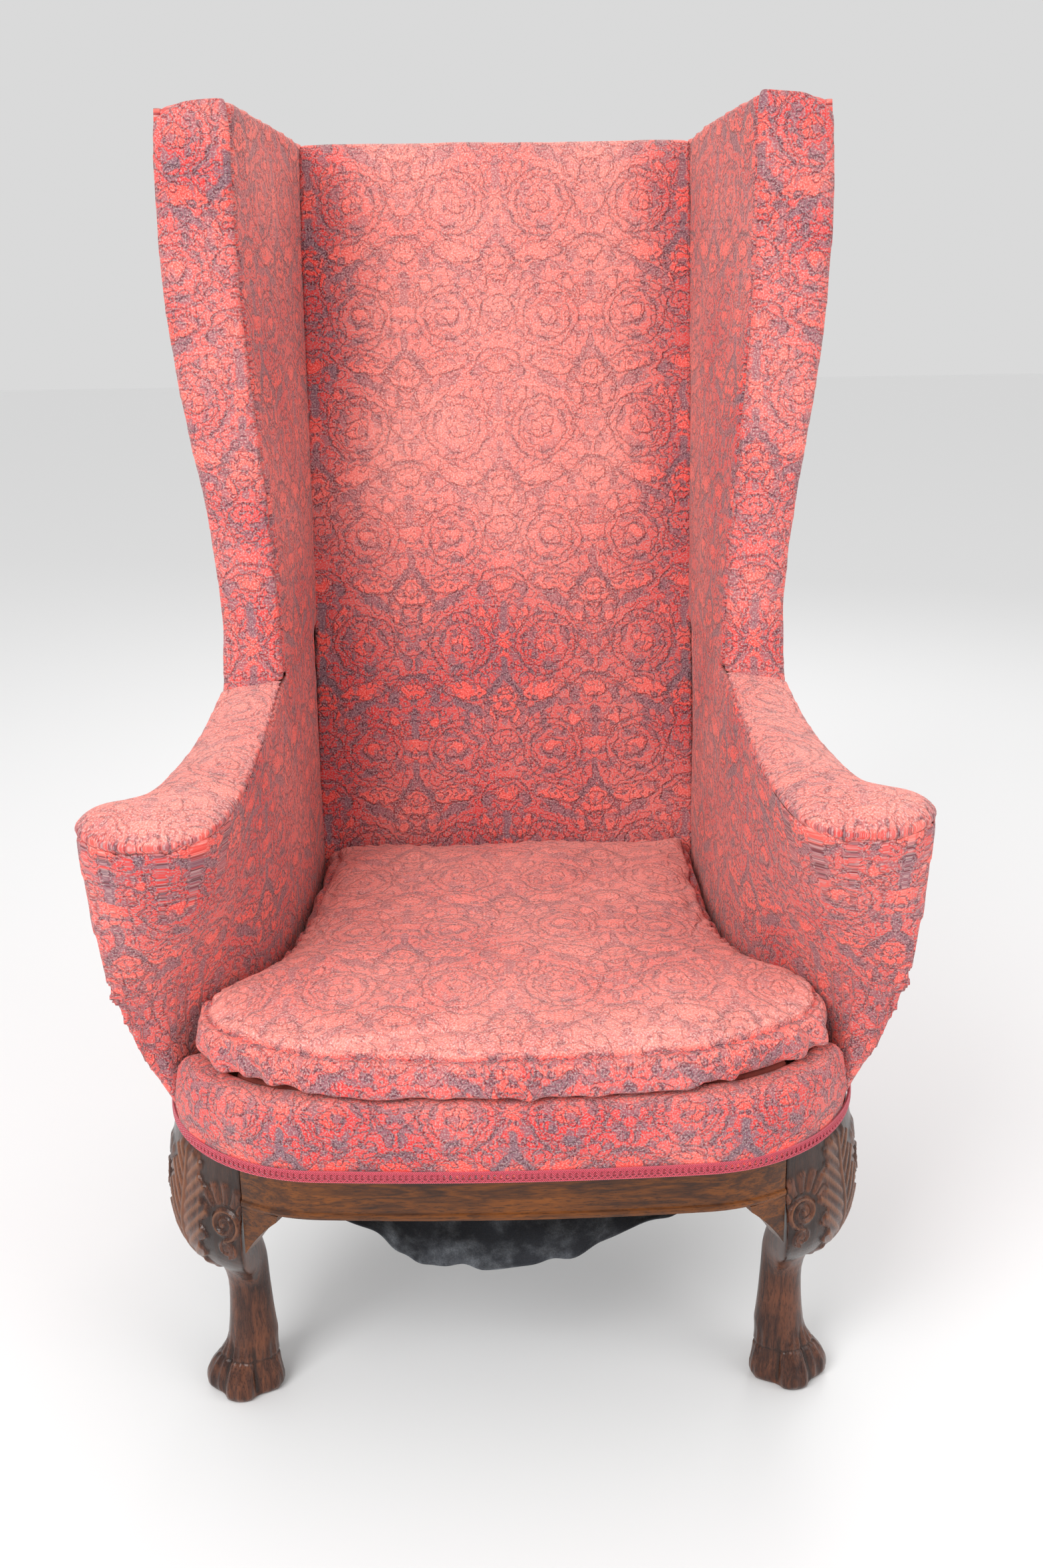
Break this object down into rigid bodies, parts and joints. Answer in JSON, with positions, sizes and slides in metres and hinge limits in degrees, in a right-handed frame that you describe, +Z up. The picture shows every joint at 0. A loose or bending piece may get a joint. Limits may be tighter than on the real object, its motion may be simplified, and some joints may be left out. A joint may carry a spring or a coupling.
{
  "type": "wingback armchair",
  "caption": "Tall winged armchair: stuffed back, wings and out-swept arms, loose crowned seat cushion, braided edge, show-wood rail and carved cabriole front legs.",
  "frame": {"origin": "on the floor, under the middle of the chair's bounding box", "axes": "+Z up; the chair faces -Y; +X is the sitter's left, and nodes ending in _left are on that side"},
  "size_m": [0.784, 0.7839, 1.273],
  "materials": {
    "walnut": "polished",
    "frame_wood": "sawn, unfinished",
    "velvet": "cut velvet damask, worn",
    "cushion_velvet": "cut velvet damask, worn",
    "braid": "woven silk braid",
    "webbing": "woven jute",
    "hessian": "coarse woven jute",
    "stuffing": "linen over hair",
    "steel": "dull",
    "bottom_cloth": "thin black cotton, torn"
  },
  "bodies": {
    "chair": {"front_rail": "walnut", "front_leg_left": "walnut", "front_leg_right": "walnut", "front_knee_bracket_left": "walnut", "front_knee_bracket_right": "walnut", "side_knee_bracket_left": "walnut", "side_knee_bracket_right": "walnut", "side_rail_left": "walnut", "side_rail_right": "walnut", "back_post_left": "walnut", "back_post_right": "walnut", "rear_rail": "frame_wood", "crest_rail": "frame_wood", "back_tack_rail": "frame_wood", "corner_braces": "frame_wood", "arm_post_left": "frame_wood", "arm_post_right": "frame_wood", "arm_board_left": "frame_wood", "arm_board_right": "frame_wood", "arm_rear_rail_left": "frame_wood", "arm_rear_rail_right": "frame_wood", "arm_tack_rail_left": "frame_wood", "arm_tack_rail_right": "frame_wood", "wing_post_left": "frame_wood", "wing_post_right": "frame_wood", "wing_top_rail_left": "frame_wood", "wing_top_rail_right": "frame_wood", "inside_back_pad": "velvet", "outside_back_panel": "velvet", "crest_pad": "velvet", "seat_border": "velvet", "inside_arm_pad_left": "velvet", "inside_arm_pad_right": "velvet", "arm_top_pad_left": "velvet", "arm_top_pad_right": "velvet", "outside_arm_panel_left": "velvet", "outside_arm_panel_right": "velvet", "wing_facing_left": "velvet", "wing_facing_right": "velvet", "inside_wing_pad_left": "velvet", "inside_wing_pad_right": "velvet", "outside_wing_panel_left": "velvet", "outside_wing_panel_right": "velvet", "wing_top_pad_left": "velvet", "wing_top_pad_right": "velvet", "gimp_braid": "braid", "seat_webbing": "webbing", "back_webbing": "webbing", "spring_hessian": "hessian", "back_hessian": "hessian", "seat_stuffing": "stuffing", "seat_springs": "steel", "corner_brace_screws": "steel", "bottom_cloth": "bottom_cloth"},
    "cushion": {"seat_cushion": "cushion_velvet"}
  },
  "joints": [
    {"name": "cushion_lift", "type": "slide", "parent": "chair", "child": "cushion", "axis": [0, -0.9659, 0.2588], "range_m": [0, 0.6]}
  ]
}
